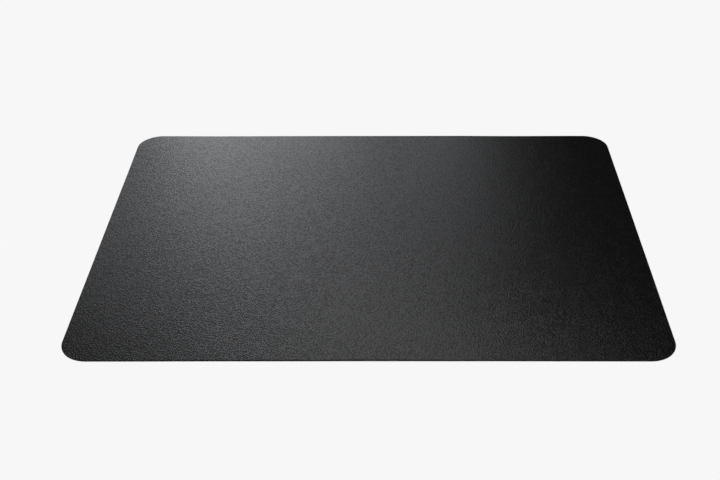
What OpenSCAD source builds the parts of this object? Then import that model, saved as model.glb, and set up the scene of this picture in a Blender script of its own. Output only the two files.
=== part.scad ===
// Chair mat: a flat floor protector for a castored office chair on a hard floor.
// It has two layers, bonded face to face over their whole area: a stiff wear sheet,
// whose top the castors roll on, and a thin soft grip backing, which lies on the floor.
// Both are punched to one outline with four round corners.
//
// Frame: millimetres, +X to the right along the long side, +Y to the back, +Z up.
// The origin is the centre of the underside, on the floor.

/* [Outline] */
// Width of the mat, left to right
mat_width = 1200; // [750:10:1500]
// Depth of the mat, front to back
mat_depth = 900; // [600:10:1300]
// Radius of the four corners
corner_radius = 58; // [20:1:150]

/* [Wear sheet] */
// Thickness of the stiff wear sheet
sheet_thickness = 1.6; // [1.2:0.1:4]
// Bevel that breaks the top edge all the way round
rim_bevel = 0.4; // [0.1:0.1:1]

/* [Grip backing] */
// Thickness of the soft grip backing
backing_thickness = 0.4; // [0.2:0.1:1.5]
// How far the backing stops short of the wear sheet's edge
backing_inset = 1; // [0:0.5:6]

/* [Hidden] */

// Height of the straight part of the wear sheet's side, under the bevel
side_height = sheet_thickness - rim_bevel;
// Facets of a corner where only a drawing of it is made
$fn = 96;

// A rectangle with round corners, centred, drawn from plain squares and circles so that
// its corners are true arcs.
module rounded_outline(width, depth, radius) {
    square([width - 2 * radius, depth], center = true);
    square([width, depth - 2 * radius], center = true);
    for (x = [-1, 1], y = [-1, 1])
        translate([x * (width / 2 - radius), y * (depth / 2 - radius)])
            circle(r = radius);
}

// A flat layer of that outline.
module layer(width, depth, radius, thickness) {
    linear_extrude(height = thickness)
        rounded_outline(width, depth, radius);
}

// One straight bevelled strip of a given length along X, with its sloping side at -Y.
module bevel_strip(length, reach, bevel) {
    translate([length / 2, 0, 0])
        rotate([90, 0, -90])
            linear_extrude(height = length)
                polygon([[0, 0], [reach, 0], [reach - bevel, bevel], [0, bevel]]);
}

// The bevelled top of the wear sheet: four strips, four cone frusta and the flat middle.
module bevelled_top(width, depth, radius, bevel) {
    straight_x = width - 2 * radius;
    straight_y = depth - 2 * radius;
    translate([-straight_x / 2, -straight_y / 2, 0])
        cube([straight_x, straight_y, bevel]);
    for (side = [0, 180]) {
        rotate([0, 0, side])
            translate([0, -straight_y / 2, 0])
                bevel_strip(straight_x, radius, bevel);
        rotate([0, 0, side + 90])
            translate([0, -straight_x / 2, 0])
                bevel_strip(straight_y, radius, bevel);
    }
    for (x = [-1, 1], y = [-1, 1])
        translate([x * straight_x / 2, y * straight_y / 2, 0])
            cylinder(r1 = radius, r2 = radius - bevel, h = bevel);
}

// The stiff sheet that the castors roll on.
module wear_sheet() {
    color([0.05, 0.05, 0.055])
        translate([0, 0, backing_thickness]) {
            layer(mat_width, mat_depth, corner_radius, side_height);
            translate([0, 0, side_height])
                bevelled_top(mat_width, mat_depth, corner_radius, rim_bevel);
        }
}

// The soft layer that keeps the mat from sliding on the floor.
module grip_backing() {
    color([0.1, 0.1, 0.1])
        layer(
            mat_width - 2 * backing_inset,
            mat_depth - 2 * backing_inset,
            corner_radius - backing_inset,
            backing_thickness
        );
}

wear_sheet();
grip_backing();
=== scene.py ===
"""A black chair mat, lying on a pale studio floor.

The mat is two layers, punched to one outline and bonded face to face: a stiff wear sheet with a pebbled
grain, and a soft grip backing under it. Each layer is swept from the section of its rim, closed in the
middle, and laid on the floor with the slight waves that a mat keeps from having been rolled up.
"""

from __future__ import annotations

import logging
import math
from dataclasses import dataclass
from enum import Enum
from typing import ClassVar, Protocol

import bmesh
import bpy
from mathutils import Matrix, Vector, noise

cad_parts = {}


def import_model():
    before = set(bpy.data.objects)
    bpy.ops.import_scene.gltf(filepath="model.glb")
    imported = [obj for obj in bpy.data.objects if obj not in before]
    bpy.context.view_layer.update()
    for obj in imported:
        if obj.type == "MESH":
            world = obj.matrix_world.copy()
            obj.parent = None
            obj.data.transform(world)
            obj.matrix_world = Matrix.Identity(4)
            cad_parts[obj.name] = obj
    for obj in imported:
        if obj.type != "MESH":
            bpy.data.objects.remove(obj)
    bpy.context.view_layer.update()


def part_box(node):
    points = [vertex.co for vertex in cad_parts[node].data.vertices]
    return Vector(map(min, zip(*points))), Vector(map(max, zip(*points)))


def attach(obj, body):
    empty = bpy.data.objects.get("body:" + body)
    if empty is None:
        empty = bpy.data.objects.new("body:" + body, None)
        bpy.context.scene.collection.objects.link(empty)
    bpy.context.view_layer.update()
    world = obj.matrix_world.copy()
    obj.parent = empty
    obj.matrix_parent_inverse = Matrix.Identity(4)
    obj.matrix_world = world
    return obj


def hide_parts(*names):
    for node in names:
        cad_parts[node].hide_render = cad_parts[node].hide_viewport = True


log = logging.getLogger("chair_mat")

MM = 0.001
MERGE = 0.01 * MM  # points nearer to each other than this are one
LEVEL = 0.99  # a face is level if its normal is at least this upright
CREASE = math.radians(50)  # an edge that turns less than this is shaded smooth
PLASTIC_INDEX = 1.49  # the index of refraction of polypropylene
CLOUD_RANGE = (0.3, 0.7)  # where nearly all values of a cloud lie


class Side(Enum):
    """The three kinds of face that a layer has."""

    TOP = "top"
    RIM = "rim"
    UNDERSIDE = "underside"


# --------------------------------------------------------------------------------------------------
# Outline and lie
# --------------------------------------------------------------------------------------------------


@dataclass(frozen=True)
class Outline:
    """A rectangle with round corners, centred on the origin."""

    half_width: float
    half_depth: float
    corner_radius: float

    @property
    def centre(self) -> Vector:
        """The centre of the back right corner, whose mirror images are the other three."""
        return Vector((self.half_width - self.corner_radius, self.half_depth - self.corner_radius))

    def inset_of(self, x: float, y: float) -> float:
        """How far inside the outline the point x, y is, up to the corner radius."""
        past = Vector((max(abs(x) - self.centre.x, 0.0), max(abs(y) - self.centre.y, 0.0)))
        return self.corner_radius - past.length


@dataclass(frozen=True)
class Lie:
    """How the mat lies: flat in the middle, with gentle waves along its edges, all on or over the floor.

    Attributes:
        outline: the mat's outline.
        front_lift: how high the middle of the front edge stands.
        front_fade: how far back from the front that lift dies away.
        ripple: how high the waves of the edges are.
        ripple_size: how long the waves are.
        ripple_fade: how far in from an edge they die away.
        ripple_bias: how far the waves are raised, before those still below the floor are laid flat on it.
        seed: which waves they are.
    """

    outline: Outline
    front_lift: float = 2.5 * MM
    front_fade: float = 170 * MM
    ripple: float = 0.9 * MM
    ripple_size: float = 210 * MM
    ripple_fade: float = 130 * MM
    ripple_bias: float = 0.35
    seed: float = 4.7

    def lift(self, x: float, y: float) -> float:
        """How high the mat's underside is over the floor.

        Args:
            x: the place across the mat.
            y: the place along its depth.

        Returns:
            The lift in metres, never negative.
        """
        wide, deep = self.outline.half_width, self.outline.half_depth
        bow = math.cos(0.5 * math.pi * min(1.0, abs(x) / wide)) ** 2
        front = self.front_lift * bow * math.exp(-(y + deep) / self.front_fade)
        from_edge = max(0.0, min(wide - abs(x), deep - abs(y)))
        wave = noise.noise(Vector((x / self.ripple_size, y / self.ripple_size, self.seed)))
        swing = max(0.0, self.ripple_bias + wave)
        return front + self.ripple * math.exp(-from_edge / self.ripple_fade) * swing


# --------------------------------------------------------------------------------------------------
# Finishes
# --------------------------------------------------------------------------------------------------

Colour = tuple[float, float, float]
Link = bpy.types.NodeSocket

PLAIN: Colour = (1.0, 1.0, 1.0)
COOL: Colour = (0.98, 1.0, 1.035)


class NodeBench:
    """A short way to add shader nodes to one new material and link them."""

    def __init__(self, name: str) -> None:
        """Starts an empty node material.

        Args:
            name: the material's name.
        """
        self.material = bpy.data.materials.new(name)
        self.material.use_nodes = True
        self.tree = self.material.node_tree
        self.tree.nodes.clear()

    def add(self, kind: str, values: dict[str | int, object], **options: object) -> bpy.types.Node:
        """Adds a node.

        Args:
            kind: the node's type.
            values: what each named input is set to, or the socket that it is linked from.
            options: the node's own properties.

        Returns:
            The new node.
        """
        node = self.tree.nodes.new(kind)
        for option, value in options.items():
            setattr(node, option, value)
        for socket, value in values.items():
            if isinstance(value, Link):
                self.tree.links.new(value, node.inputs[socket])
            else:
                node.inputs[socket].default_value = value
        return node

    def place(self) -> Link:
        """The point on the object, in metres."""
        return self.add("ShaderNodeTexCoord", {}).outputs["Object"]

    def maths(self, operation: str, *terms: Link | float) -> Link:
        """Works out a number from its terms, by an operation such as MULTIPLY."""
        return self.add("ShaderNodeMath", dict(enumerate(terms)), operation=operation).outputs[0]

    def vector(self, operation: str, *terms: Link | Colour) -> bpy.types.Node:
        """Works on vectors, and returns the node, whose output is Vector, or Value for a length."""
        return self.add("ShaderNodeVectorMath", dict(enumerate(terms)), operation=operation)

    def cloud(self, place: Link, size: float, detail: float = 2.0) -> Link:
        """Makes a soft random pattern with patches of the given size, mostly within CLOUD_RANGE."""
        values = {"Vector": place, "Scale": 1 / size, "Detail": detail}
        return self.add("ShaderNodeTexNoise", values).outputs["Fac"]

    def ease(self, value: Link, start: float, end: float, low: float, high: float) -> Link:
        """Maps a value smoothly, so that start gives low and end gives high."""
        values = {"Value": value, "From Min": start, "From Max": end, "To Min": low, "To Max": high}
        return self.add("ShaderNodeMapRange", values, interpolation_type="SMOOTHSTEP").outputs["Result"]

    def blend(self, factor: Link, first: Colour, second: Colour) -> Link:
        """Blends two colours.

        Args:
            factor: 0 where the first shows and 1 where the second does.
            first: the first colour.
            second: the second colour.

        Returns:
            The blended colour.
        """
        values = {"Factor": factor, "A": (*first, 1.0), "B": (*second, 1.0)}
        node = self.add("ShaderNodeMix", {}, data_type="RGBA")
        for socket in node.inputs:
            if socket.enabled and socket.name in values:
                value = values[socket.name]
                if isinstance(value, Link):
                    self.tree.links.new(value, socket)
                else:
                    socket.default_value = value
        return next(socket for socket in node.outputs if socket.enabled)

    def inset(self, place: Link, outline: Outline) -> Link:
        """How far inside the outline the point is, up to the corner radius.

        Args:
            place: the point.
            outline: the layer's outline.

        Returns:
            The distance in metres.
        """
        folded = self.vector("ABSOLUTE", place).outputs["Vector"]
        past = self.vector("SUBTRACT", folded, (*outline.centre, 0.0)).outputs["Vector"]
        beyond = self.vector("MAXIMUM", past, (0.0, 0.0, 0.0)).outputs["Vector"]
        level = self.vector("MULTIPLY", beyond, (1.0, 1.0, 0.0)).outputs["Vector"]
        return self.maths("SUBTRACT", outline.corner_radius, self.vector("LENGTH", level).outputs["Value"])

    def plastic(
        self,
        colour: Link,
        roughness: Link,
        height: Link,
        gloss: Link | float,
    ) -> bpy.types.Material:
        """Ends the material as a plastic.

        Args:
            colour: its base colour.
            roughness: its roughness.
            height: its relief, in metres.
            gloss: how strongly it mirrors, where 0.5 is a clean plastic.

        Returns:
            The finished material.
        """
        bump = self.add("ShaderNodeBump", {"Height": height, "Distance": 1.0, "Strength": 1.0})
        values = {
            "Base Color": colour,
            "Roughness": roughness,
            "IOR": PLASTIC_INDEX,
            "Specular IOR Level": gloss,
            "Normal": bump.outputs["Normal"],
        }
        shader = self.add("ShaderNodeBsdfPrincipled", values)
        self.add("ShaderNodeOutputMaterial", {"Surface": shader.outputs["BSDF"]})
        return self.material


class Finish(Protocol):
    """What every finish can do."""

    def material(self) -> bpy.types.Material:
        """Builds the finish as a node material."""
        ...


@dataclass(frozen=True)
class PebbledPlastic:
    """Black polypropylene, embossed with low round pebbles while it was warm.

    The pebbles swell and shrink a little from patch to patch. Their crowns shine and the valleys between
    them are dull, partly from a duller finish of their own and partly as painted shade for the shade that
    falls between the pebbles. Handling has scuffed the last millimetres before the rim.

    Attributes:
        outline: the sheet's outline.
        fresh: the plastic's own colour.
        scuffed: its colour where it is scuffed or rubbed.
        valley_roughness: the roughness between the pebbles.
        crown_roughness: the roughness on them.
        valley_gloss_and_shade: how strongly the valleys mirror. It is set low partly as painted shade
            between the pebbles.
        crown_gloss: how strongly the crowns do.
        pebble: how far apart the pebbles are.
        pebble_height: how tall they are.
        height_spread: the share by which that height changes from patch to patch.
        softness: how far neighbouring pebbles melt together.
        scatter: how far they stray from even rows.
        crown_end: how far from its middle a pebble is at its full height.
        valley_start: how far from its middle it reaches the valley.
        drift_rate: how often the rows turn, in turns for each pebble.
        drift_reach: how far those turns carry a pebble, in pebbles.
        pore: the size of the pores.
        pore_height: how deep they are.
        patch: the size of the patches.
        rub: how strongly the tallest patches are rubbed.
        rub_range: the values of the patches between which the rubbing sets in.
        scuff: the size of the scuffs.
        scuff_detail: how ragged they are.
        scuff_range: the values of their pattern between which they set in.
        scuff_least: how scuffed the rim is between them.
        scuff_reach: how far in from the rim they go.
        scuff_roughness: how much rougher they are.
    """

    outline: Outline
    fresh: Colour = (0.0075, 0.0075, 0.0076)
    scuffed: Colour = (0.045, 0.045, 0.047)
    valley_roughness: float = 0.34
    crown_roughness: float = 0.28
    # the valleys' low gloss is partly their own finish and partly painted shade between the pebbles
    valley_gloss_and_shade: float = 0.28
    crown_gloss: float = 0.64
    pebble: float = 3.2 * MM
    pebble_height: float = 0.3 * MM
    height_spread: float = 0.2
    softness: float = 0.35
    scatter: float = 0.9
    crown_end: float = 0.1
    valley_start: float = 0.75
    drift_rate: float = 0.45
    drift_reach: float = 0.7
    pore: float = 1.6 * MM
    pore_height: float = 0.1 * MM
    patch: float = 28 * MM
    rub: float = 0.12
    rub_range: tuple[float, float] = (0.45, 0.75)
    scuff: float = 11.2 * MM
    scuff_detail: float = 4.0
    scuff_range: tuple[float, float] = (0.4, 0.65)
    scuff_least: float = 0.2
    scuff_reach: float = 3.5 * MM
    scuff_roughness: float = 0.12

    def pebbles(self, bench: NodeBench, place: Link) -> Link:
        """Makes the pebbles.

        Args:
            bench: the material's nodes.
            place: the point on the sheet.

        Returns:
            A value from 0 in the valleys to 1 on the crowns.
        """
        slow = {"Vector": place, "Scale": self.drift_rate / self.pebble, "Detail": 1.0}
        drift = bench.add("ShaderNodeTexNoise", slow).outputs["Color"]
        reach = (self.drift_reach * self.pebble,) * 3
        values = {
            "Vector": bench.vector("MULTIPLY_ADD", drift, reach, place).outputs["Vector"],
            "Scale": 1 / self.pebble,
            "Smoothness": self.softness,
            "Randomness": self.scatter,
        }
        cells = bench.add("ShaderNodeTexVoronoi", values, feature="SMOOTH_F1")
        return bench.ease(cells.outputs["Distance"], self.crown_end, self.valley_start, 1.0, 0.0)

    def relief(self, bench: NodeBench, place: Link, crown: Link, patches: Link) -> Link:
        """Makes the relief.

        Args:
            bench: the material's nodes.
            place: the point on the sheet.
            crown: 0 in the valleys and 1 on the crowns.
            patches: the pattern of the patches.

        Returns:
            The height in metres.
        """
        lowest = (1 - self.height_spread) * self.pebble_height
        tallest = (1 + self.height_spread) * self.pebble_height
        swell = bench.ease(patches, *CLOUD_RANGE, lowest, tallest)
        pores = bench.maths("MULTIPLY", bench.cloud(place, self.pore), self.pore_height)
        return bench.maths("MULTIPLY_ADD", crown, swell, pores)

    def wear(self, bench: NodeBench, place: Link) -> Link:
        """Makes the scuffs beside the rim.

        Args:
            bench: the material's nodes.
            place: the point on the sheet.

        Returns:
            A value from 0 where the sheet is fresh to 1 where it is scuffed.
        """
        near_rim = bench.ease(bench.inset(place, self.outline), 0.0, self.scuff_reach, 1.0, 0.0)
        pattern = bench.cloud(place, self.scuff, self.scuff_detail)
        scuffs = bench.ease(pattern, *self.scuff_range, self.scuff_least, 1.0)
        return bench.maths("MULTIPLY", near_rim, scuffs)

    def material(self) -> bpy.types.Material:
        """Builds the finish as a node material.

        Returns:
            The material.
        """
        bench = NodeBench("pebbled_plastic")
        place = bench.place()
        crown = self.pebbles(bench, place)
        patches = bench.cloud(place, self.patch)
        worn = self.wear(bench, place)
        rubbed = bench.maths("MULTIPLY", bench.ease(patches, *self.rub_range, 0.0, self.rub), crown)
        colour = bench.blend(bench.maths("MAXIMUM", worn, rubbed), self.fresh, self.scuffed)
        satin = bench.ease(crown, 0.0, 1.0, self.valley_roughness, self.crown_roughness)
        roughness = bench.maths("MULTIPLY_ADD", worn, self.scuff_roughness, satin)
        # lower gloss in the valleys: partly their own duller finish, partly painted shade between the
        # pebbles
        gloss = bench.ease(crown, 0.0, 1.0, self.valley_gloss_and_shade, self.crown_gloss)
        return bench.plastic(colour, roughness, self.relief(bench, place, crown, patches), gloss)


@dataclass(frozen=True)
class PunchedEdge:
    """The bare side of the sheet: upright tool marks, and a torn, duller band where the punch broke out.

    Attributes:
        fresh: the colour of the clean cut.
        torn: the colour of the torn band.
        roughness: the roughness of the clean cut.
        roughness_spread: how far the marks change it either way.
        torn_roughness: how much rougher the torn band is.
        gloss: how strongly the side mirrors.
        mark: how far apart the tool marks are.
        mark_height: how deep they are.
        mark_squash: how many times closer they are across than along.
        notch: how far apart the notches in the torn band's upper edge are.
        notch_depth: how deep they are.
        break_height: how high over the floor the torn band reaches between them.
        break_blend: over what height it fades.
    """

    fresh: Colour = (0.007, 0.007, 0.0075)
    torn: Colour = (0.016, 0.016, 0.0165)
    roughness: float = 0.6
    roughness_spread: float = 0.06
    torn_roughness: float = 0.15
    gloss: float = 0.15
    mark: float = 0.8 * MM
    mark_height: float = 0.02 * MM
    mark_squash: float = 10.0
    notch: float = 3.2 * MM
    notch_depth: float = 0.6 * MM
    break_height: float = 0.9 * MM
    break_blend: float = 0.3 * MM

    def torn_band(self, bench: NodeBench, place: Link) -> Link:
        """Makes the torn band along the foot of the side.

        Args:
            bench: the material's nodes.
            place: the point on the side.

        Returns:
            A value from 0 on the clean cut to 1 in the torn band.
        """
        height = bench.add("ShaderNodeSeparateXYZ", {"Vector": place}).outputs["Z"]
        notches = bench.cloud(place, self.notch)
        edge = bench.maths("MULTIPLY_ADD", notches, self.notch_depth, height)
        return bench.ease(edge, self.break_height, self.break_height + self.break_blend, 1.0, 0.0)

    def material(self) -> bpy.types.Material:
        """Builds the finish as a node material.

        Returns:
            The material.
        """
        bench = NodeBench("punched_edge")
        place = bench.place()
        upright = bench.vector("MULTIPLY", place, (1.0, 1.0, 1 / self.mark_squash)).outputs["Vector"]
        marks = bench.cloud(upright, self.mark)
        tear = self.torn_band(bench, place)
        height = bench.maths("MULTIPLY", marks, self.mark_height)
        colour = bench.blend(tear, self.fresh, self.torn)
        smooth, rough = self.roughness - self.roughness_spread, self.roughness + self.roughness_spread
        smear = bench.ease(marks, *CLOUD_RANGE, smooth, rough)
        roughness = bench.maths("MULTIPLY_ADD", tear, self.torn_roughness, smear)
        return bench.plastic(colour, roughness, height, self.gloss)


@dataclass(frozen=True)
class GripFilm:
    """A soft dark film, matt to the touch, embossed with a fine linen of crossed ribs.

    Attributes:
        fresh: the film's own colour.
        dusty: its colour where it has picked up dust.
        roughness: its roughness.
        roughness_spread: how far the specks change it either way.
        gloss: how strongly it mirrors.
        rib: how far apart the ribs are.
        rib_height: how tall they are.
        speck: the size of the specks of its bloom.
        speck_height: how tall they are.
        dust: the size of the dusty patches.
        dust_detail: how ragged they are.
        dust_range: the values of their pattern between which they set in.
    """

    fresh: Colour = (0.02, 0.02, 0.021)
    dusty: Colour = (0.034, 0.033, 0.032)
    roughness: float = 0.82
    roughness_spread: float = 0.06
    gloss: float = 0.3
    rib: float = 4.0 * MM
    rib_height: float = 0.12 * MM
    speck: float = 1.4 * MM
    speck_height: float = 0.03 * MM
    dust: float = 84 * MM
    dust_detail: float = 5.0
    dust_range: tuple[float, float] = (0.45, 0.75)

    def weave(self, bench: NodeBench, place: Link) -> Link:
        """Makes the crossed ribs.

        Args:
            bench: the material's nodes.
            place: the point on the film.

        Returns:
            A value from -1 between the ribs to 1 on them.
        """
        axes = bench.add("ShaderNodeSeparateXYZ", {"Vector": place}).outputs
        turns = 2 * math.pi / (self.rib * math.sqrt(2))
        rows = []
        for slant in ("ADD", "SUBTRACT"):
            along = bench.maths(slant, axes["X"], axes["Y"])
            rows.append(bench.maths("SINE", bench.maths("MULTIPLY", along, turns)))
        return bench.maths("MULTIPLY", *rows)

    def material(self) -> bpy.types.Material:
        """Builds the finish as a node material.

        Returns:
            The material.
        """
        bench = NodeBench("grip_film")
        place = bench.place()
        ribs = bench.maths("MULTIPLY", self.weave(bench, place), 0.5 * self.rib_height)
        specks = bench.cloud(place, self.speck)
        height = bench.maths("MULTIPLY_ADD", specks, self.speck_height, ribs)
        patches = bench.cloud(place, self.dust, self.dust_detail)
        picked_up = bench.ease(patches, *self.dust_range, 0.0, 1.0)
        colour = bench.blend(picked_up, self.fresh, self.dusty)
        smooth, rough = self.roughness - self.roughness_spread, self.roughness + self.roughness_spread
        roughness = bench.ease(specks, *CLOUD_RANGE, smooth, rough)
        return bench.plastic(colour, roughness, height, self.gloss)


@dataclass(frozen=True)
class StudioFloor:
    """The plain pale floor under the mat."""

    colour: Colour = (0.86, 0.86, 0.86)

    def material(self) -> bpy.types.Material:
        """Builds the finish as a node material.

        Returns:
            The material.
        """
        bench = NodeBench("studio_floor")
        shader = bench.add("ShaderNodeBsdfDiffuse", {"Color": (*self.colour, 1.0)})
        bench.add("ShaderNodeOutputMaterial", {"Surface": shader.outputs["BSDF"]})
        return bench.material


# --------------------------------------------------------------------------------------------------
# The mat
# --------------------------------------------------------------------------------------------------


@dataclass(frozen=True)
class BakeMap:
    """Where a layer's faces lie on its square map, so that the face that shows has three quarters of it.

    Attributes:
        outline: the layer's outline.
        shown: which of the top and the underside shows.
        name: the map's name.
        margin: how far the faces stay inside the map.
        shelf: where the space over the face that shows begins.
        hidden_scale: the scale of the face that doesn't show, in maps to the metre.
        strip_start: where the rim's strips begin, past the face that doesn't show.
        strip_scale: their scale, in maps to the metre.
        strip_pitch: how far apart they are.
        strip_height: how tall each is.
    """

    outline: Outline
    shown: Side
    name: str = "OFBake"
    margin: float = 0.004
    shelf: float = 0.76
    hidden_scale: float = 0.25
    strip_start: float = 0.33
    strip_scale: float = 0.54
    strip_pitch: float = 0.055
    strip_height: float = 0.03

    def flat(self, side: Side, spot: Vector) -> tuple[float, float]:
        """Places a point of the top or the underside.

        Args:
            side: which of the two it is on.
            spot: the point.

        Returns:
            Its place on the map.
        """
        shown = side is self.shown
        full = (1 - 2 * self.margin) / (2 * self.outline.half_width)
        scale = full if shown else self.hidden_scale
        base = self.margin if shown else self.shelf
        across = self.margin + (spot.x + self.outline.half_width) * scale
        return across, base + (spot.y + self.outline.half_depth) * scale

    def strip(self, normal: Vector, spot: Vector, section: float) -> tuple[float, float]:
        """Places a point of the rim, on one of four strips.

        Args:
            normal: the way its face looks.
            spot: the point.
            section: how tall the rim is, measured round its bevel.

        Returns:
            Its place on the map.
        """
        sideways = abs(normal.x) > abs(normal.y)
        along = spot.y if sideways else spot.x
        facing = normal.x if sideways else normal.y
        row = 2 * int(sideways) + int(facing > 0)
        height = (spot.z + self.outline.inset_of(spot.x, spot.y)) / section
        across = self.strip_start + (along + self.outline.half_width) * self.strip_scale
        return across, self.shelf + row * self.strip_pitch + height * self.strip_height


@dataclass
class PunchedLayer:
    """One layer of the mat, with its sizes read from its CAD node.

    Its rim is one section, swept along each straight side and about the centre of each corner.

    Attributes:
        outline: the layer's outline.
        bottom: the height of its underside.
        top: the height of its top.
        bevel: how wide the bevel round its top is.
        cell: the size of its faces, fine enough for its waves.
        corner_steps: how many steps a corner takes.
        bevel_steps: how many steps the bevel's curve takes.
        hold: how near the rim a last row of points keeps the flat faces flat.
        node: the CAD node that the layer stands for.
        shown: which of its top and underside shows.
    """

    outline: Outline
    bottom: float
    top: float
    bevel: float
    cell: float = 10 * MM
    corner_steps: int = 18
    bevel_steps: int = 4
    hold: float = 0.3 * MM

    node: ClassVar[str]
    slot: ClassVar[str]
    shown: ClassVar[Side]

    @classmethod
    def measured(cls) -> PunchedLayer:
        """Reads the layer's sizes from its CAD node.

        Returns:
            The layer.
        """
        low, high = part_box(cls.node)
        points = [vertex.co for vertex in bpy.data.objects[cls.node].data.vertices]
        straight = max(point.x for point in points if point.y < low.y + MERGE)
        level = max(point.x for point in points if point.z > high.z - MERGE)
        outline = Outline(high.x, high.y, high.x - straight)
        return cls(outline=outline, bottom=low.z, top=high.z, bevel=high.x - level)

    @property
    def name(self) -> str:
        """The piece's name."""
        return f"{self.node}_laid"

    def finishes(self) -> dict[Side, Finish]:
        """The finish of each side."""
        raise NotImplementedError

    def coats(self) -> list[Finish]:
        """The layer's different finishes, in the order of its material slots."""
        return list(dict.fromkeys(self.finishes().values()))

    def section(self) -> list[tuple[float, float]]:
        """Draws the rim's section, from the corner's centre out over the rim and back underneath.

        Returns:
            Points, each as its reach outwards and its height.
        """
        edge = self.outline.corner_radius
        level = edge - self.bevel
        rings = round(level / self.cell)
        reaches = [level * ring / rings for ring in range(rings)]
        points = [(reach, self.top) for reach in reaches]
        points.append((level - self.hold, self.top))
        steps = self.bevel_steps if self.bevel > MERGE else 0
        for step in range(steps + 1):
            turn = 0.5 * math.pi * step / self.bevel_steps
            drop = self.bevel * (1 - math.cos(turn))
            points.append((level + self.bevel * math.sin(turn), self.top - drop))
        points.append((edge, self.bottom))
        points.append((edge - self.hold, self.bottom))
        points += [(reach, self.bottom) for reach in reversed(reaches)]
        return points

    def cells(self) -> tuple[int, int]:
        """How many cells the straight part has across and along the depth."""
        return tuple(round(2 * reach / self.cell) for reach in self.outline.centre)

    def sweep_rim(self, bm: bmesh.types.BMesh) -> None:
        """Sweeps the section once round the outline.

        Args:
            bm: the mesh to sweep it in.
        """
        centre = self.outline.centre
        verts = [bm.verts.new((-centre.x, -centre.y - reach, height)) for reach, height in self.section()]
        edges = [bm.edges.new(pair) for pair in zip(verts, verts[1:])]
        for quarter in range(4):
            count = self.cells()[quarter % 2]
            heading = Matrix.Rotation(quarter * math.pi / 2, 3, "Z")
            stride = heading @ Vector((2 * centre[quarter % 2] / count, 0, 0))
            for _ in range(count):
                grown = bmesh.ops.extrude_edge_only(bm, edges=edges)["geom"]
                edges = [item for item in grown if isinstance(item, bmesh.types.BMEdge)]
                moved = [item for item in grown if isinstance(item, bmesh.types.BMVert)]
                bmesh.ops.translate(bm, verts=moved, vec=stride)
            corner = heading @ Vector((centre[quarter % 2], -centre[1 - quarter % 2], 0))
            spun = bmesh.ops.spin(
                bm,
                geom=edges,
                cent=corner,
                axis=(0, 0, 1),
                angle=math.pi / 2,
                steps=self.corner_steps,
            )
            edges = [item for item in spun["geom_last"] if isinstance(item, bmesh.types.BMEdge)]

    def close_middle(self, bm: bmesh.types.BMesh) -> None:
        """Closes the top and the underside between the corners' centres.

        Args:
            bm: the mesh that holds the rim.
        """
        across, along = self.cells()
        scale = Matrix.Diagonal((*self.outline.centre, 1, 1))
        for height in (self.top, self.bottom):
            place = Matrix.Translation((0, 0, height)) @ scale
            bmesh.ops.create_grid(bm, x_segments=across, y_segments=along, size=1, matrix=place)
        bmesh.ops.remove_doubles(bm, verts=bm.verts, dist=MERGE)
        bmesh.ops.recalc_face_normals(bm, faces=bm.faces)

    def side_of(self, face: bmesh.types.BMFace) -> Side:
        """Says which side a face of the flat layer belongs to.

        Args:
            face: the face.

        Returns:
            Its side: only a level face is top or underside, because the punch cuts through the grain.
        """
        if abs(face.normal.z) < LEVEL:
            return Side.RIM
        return Side.TOP if face.normal.z > 0 else Side.UNDERSIDE

    def dress(self, bm: bmesh.types.BMesh) -> None:
        """Gives each face of the flat layer its finish, its shading and its place on the map.

        Args:
            bm: the layer's mesh.
        """
        chart = BakeMap(self.outline, self.shown)
        chart_layer = bm.loops.layers.uv.new(chart.name)
        finishes = self.finishes()
        coats = self.coats()
        tall = self.top - self.bottom + self.bevel
        lowest = Vector((0, 0, self.bottom))
        for face in bm.faces:
            side = self.side_of(face)
            face.material_index = coats.index(finishes[side])
            face.smooth = True
            for loop in face.loops:
                spot = loop.vert.co - lowest
                if side is Side.RIM:
                    loop[chart_layer].uv = chart.strip(face.normal, spot, tall)
                else:
                    loop[chart_layer].uv = chart.flat(side, spot)
        for edge in bm.edges:
            edge.smooth = edge.calc_face_angle(0.0) < CREASE

    def build(self, lie: Lie) -> bpy.types.Object:
        """Builds the layer, dresses it and lays it on the floor.

        Args:
            lie: how the mat lies.

        Returns:
            The finished piece.
        """
        bm = bmesh.new()
        self.sweep_rim(bm)
        self.close_middle(bm)
        self.dress(bm)
        for vertex in bm.verts:
            vertex.co.z += lie.lift(vertex.co.x, vertex.co.y)
        mesh = bpy.data.meshes.new(self.name)
        bm.to_mesh(mesh)
        bm.free()
        for coat in self.coats():
            mesh.materials.append(coat.material())
        piece = bpy.data.objects.new(self.name, mesh)
        bpy.context.scene.collection.objects.link(piece)
        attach(piece, "root")
        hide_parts(self.node)
        log.info("%s: %d faces", self.name, len(mesh.polygons))
        return piece


class WearSheet(PunchedLayer):
    """The stiff grained sheet that the castors roll on."""

    node = "wear_sheet"
    slot = "grained_plastic"
    shown = Side.TOP

    def finishes(self) -> dict[Side, Finish]:
        """The finish of each side: the bonded underside is as bare as the punched rim."""
        bare = PunchedEdge()
        return {Side.TOP: PebbledPlastic(self.outline), Side.RIM: bare, Side.UNDERSIDE: bare}


class GripBacking(PunchedLayer):
    """The soft film that keeps the mat from sliding."""

    node = "grip_backing"
    slot = "grip_rubber"
    shown = Side.UNDERSIDE

    def finishes(self) -> dict[Side, Finish]:
        """The finish of each side: the film is the same all through."""
        film = GripFilm()
        return {Side.TOP: film, Side.RIM: film, Side.UNDERSIDE: film}


# --------------------------------------------------------------------------------------------------
# The studio
# --------------------------------------------------------------------------------------------------


def direction(azimuth: float, elevation: float) -> Vector:
    """Points away from the mat's middle, azimuth degrees from back to left and elevation degrees up."""
    turn, rise = math.radians(azimuth), math.radians(elevation)
    return Vector((-math.sin(turn) * math.cos(rise), math.cos(turn) * math.cos(rise), math.sin(rise)))


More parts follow.
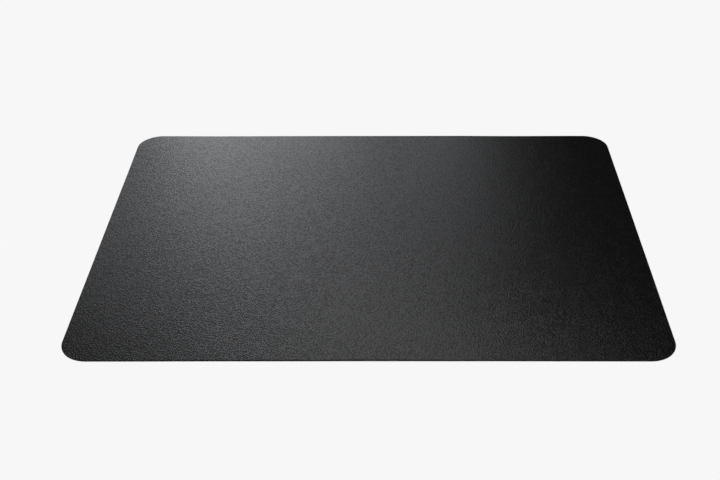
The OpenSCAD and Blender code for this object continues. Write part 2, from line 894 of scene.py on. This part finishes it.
def light_only(lamp: bpy.types.Object, receivers: list[bpy.types.Object]) -> None:
    """Lets a lamp light nothing but the objects given.

    Args:
        lamp: the lamp.
        receivers: the objects that it lights.
    """
    lit = bpy.data.collections.new(f"lit_by_{lamp.name}")
    for receiver in receivers:
        lit.objects.link(receiver)
    lamp.light_linking.receiver_collection = lit


@dataclass(frozen=True)
class Softbox:
    """A rectangular lamp that faces the mat's middle.

    Attributes:
        name: the lamp's name.
        azimuth: where it stands, in degrees from straight back towards the left.
        elevation: how high it stands, in degrees over the floor.
        distance: how far away it is.
        size: its width and height.
        power: its power in watts.
        colour: its colour.
    """

    name: str
    azimuth: float
    elevation: float
    distance: float
    size: tuple[float, float]
    power: float
    colour: Colour = PLAIN

    def build(self, receivers: list[bpy.types.Object]) -> None:
        """Adds the lamp.

        Args:
            receivers: the objects that it lights.
        """
        data = bpy.data.lights.new(self.name, "AREA")
        data.shape = "RECTANGLE"
        data.size, data.size_y = self.size
        data.energy = self.power
        data.color = self.colour
        lamp = bpy.data.objects.new(self.name, data)
        towards = direction(self.azimuth, self.elevation)
        lamp.location = towards * self.distance
        lamp.rotation_euler = (-towards).to_track_quat("-Z", "Y").to_euler()
        lamp.visible_camera = False
        bpy.context.scene.collection.objects.link(lamp)
        light_only(lamp, receivers)


@dataclass(frozen=True)
class Viewpoint:
    """The camera, placed by its distance and angles about the point that it looks at.

    Attributes:
        aim: the point that its axis meets.
        distance: how far from that point it stands.
        azimuth: where it stands, in degrees from straight back towards the left.
        elevation: how high it stands, in degrees over the floor.
        roll: how far it leans, in degrees.
        lens: its focal length in millimetres.
        sensor: the width of its sensor in millimetres.
        shift: how far the lens is moved across, in widths of the sensor.
    """

    aim: tuple[float, float, float] = (0.0285, -0.0317, 0.0)
    distance: float = 2.436
    azimuth: float = 180.2
    elevation: float = 33.83
    roll: float = -0.15
    lens: float = 54.57
    sensor: float = 36.0
    shift: float = -0.0326

    def build(self) -> None:
        """Adds the camera and makes it the scene's own."""
        data = bpy.data.cameras.new("camera")
        data.lens = self.lens
        data.sensor_width = self.sensor
        data.shift_x = self.shift
        camera = bpy.data.objects.new("camera", data)
        back = direction(self.azimuth, self.elevation)
        camera.location = Vector(self.aim) + back * self.distance
        level = (-back).to_track_quat("-Z", "Y").to_matrix()
        camera.rotation_euler = (level @ Matrix.Rotation(math.radians(self.roll), 3, "Z")).to_euler()
        bpy.context.scene.collection.objects.link(camera)
        bpy.context.scene.camera = camera


@dataclass(frozen=True)
class Studio:
    """The floor, the lamps and the pale room round them.

    The key lights only the floor, and the softboxes light only the mat.

    Attributes:
        floor_size: half the floor's width.
        floor_gap: how far under the mat the floor lies, so that the two don't share a level.
        room: how bright the room looks past the floor.
        fill: how strongly it lights the mat and the floor.
        key_power: the key's strength.
        key_angle: how wide it looks, in degrees.
        key_azimuth: where it stands, in degrees from straight back towards the left.
        key_elevation: how high it stands, in degrees over the floor.
        softboxes: the lamps that the mat mirrors.
    """

    floor_size: float = 30.0
    floor_gap: float = 0.05 * MM
    room: float = 0.93
    fill: float = 0.008
    key_power: float = 3.64
    key_angle: float = 25.0
    key_azimuth: float = 180.0
    key_elevation: float = 68.0
    softboxes: tuple[Softbox, ...] = (
        Softbox("back_left_softbox", 16.7, 23.6, 1.48, (1.68, 1.31), 6.3, COOL),
        Softbox("bright_strip", 26.7, 23.9, 1.2, (0.34, 0.91), 0.57, COOL),
        Softbox("overhead_softbox", -31.6, 69.1, 1.2, (1.05, 0.49), 4.0),
        Softbox("low_softbox", 16.4, 14.0, 1.57, (0.68, 0.41), 1.54, COOL),
        Softbox("front_left_softbox", 135.0, 22.0, 2.6, (2.3, 1.2), 6.0),
        Softbox("front_right_softbox", -135.0, 18.0, 2.6, (2.3, 1.2), 8.0),
    )

    def build_floor(self) -> bpy.types.Object:
        """Adds the floor, which isn't part of the object.

        Returns:
            The floor.
        """
        bm = bmesh.new()
        bmesh.ops.create_grid(bm, x_segments=1, y_segments=1, size=self.floor_size)
        bmesh.ops.translate(bm, verts=bm.verts, vec=(0, 0, -self.floor_gap))
        mesh = bpy.data.meshes.new("floor")
        bm.to_mesh(mesh)
        bm.free()
        mesh.materials.append(StudioFloor().material())
        floor = bpy.data.objects.new("floor", mesh)
        bpy.context.scene.collection.objects.link(floor)
        return floor

    def build_key(self, floor: bpy.types.Object) -> None:
        """Adds the broad key, which falls evenly over the floor.

        Args:
            floor: the floor.
        """
        data = bpy.data.lights.new("key", "SUN")
        data.energy = self.key_power
        data.angle = math.radians(self.key_angle)
        key = bpy.data.objects.new("key", data)
        towards = direction(self.key_azimuth, self.key_elevation)
        key.rotation_euler = (-towards).to_track_quat("-Z", "Y").to_euler()
        bpy.context.scene.collection.objects.link(key)
        light_only(key, [floor])

    def build_room(self) -> None:
        """Makes the room: pale where the camera looks past the floor, and dim as a light."""
        world = bpy.data.worlds.new("room")
        world.use_nodes = True
        tree = world.node_tree
        tree.nodes.clear()
        path = tree.nodes.new("ShaderNodeLightPath")
        shade = tree.nodes.new("ShaderNodeMapRange")
        shade.inputs["To Min"].default_value = self.fill
        shade.inputs["To Max"].default_value = self.room
        background = tree.nodes.new("ShaderNodeBackground")
        background.inputs["Color"].default_value = (*PLAIN, 1.0)
        output = tree.nodes.new("ShaderNodeOutputWorld")
        tree.links.new(path.outputs["Is Camera Ray"], shade.inputs["Value"])
        tree.links.new(shade.outputs["Result"], background.inputs["Strength"])
        tree.links.new(background.outputs["Background"], output.inputs["Surface"])
        bpy.context.scene.world = world

    def build(self, pieces: list[bpy.types.Object]) -> None:
        """Builds the whole studio.

        Args:
            pieces: the mat's pieces.
        """
        self.build_room()
        self.build_key(self.build_floor())
        for softbox in self.softboxes:
            softbox.build(pieces)
        bpy.context.scene.view_settings.view_transform = "Standard"


def main() -> None:
    """Builds the mat and the studio."""
    logging.basicConfig(level=logging.INFO)
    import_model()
    Viewpoint().build()
    sheet = WearSheet.measured()
    backing = GripBacking.measured()
    lie = Lie(sheet.outline)
    pieces = [sheet.build(lie), backing.build(lie)]
    Studio().build(pieces)


if __name__ == "__main__":
    main()
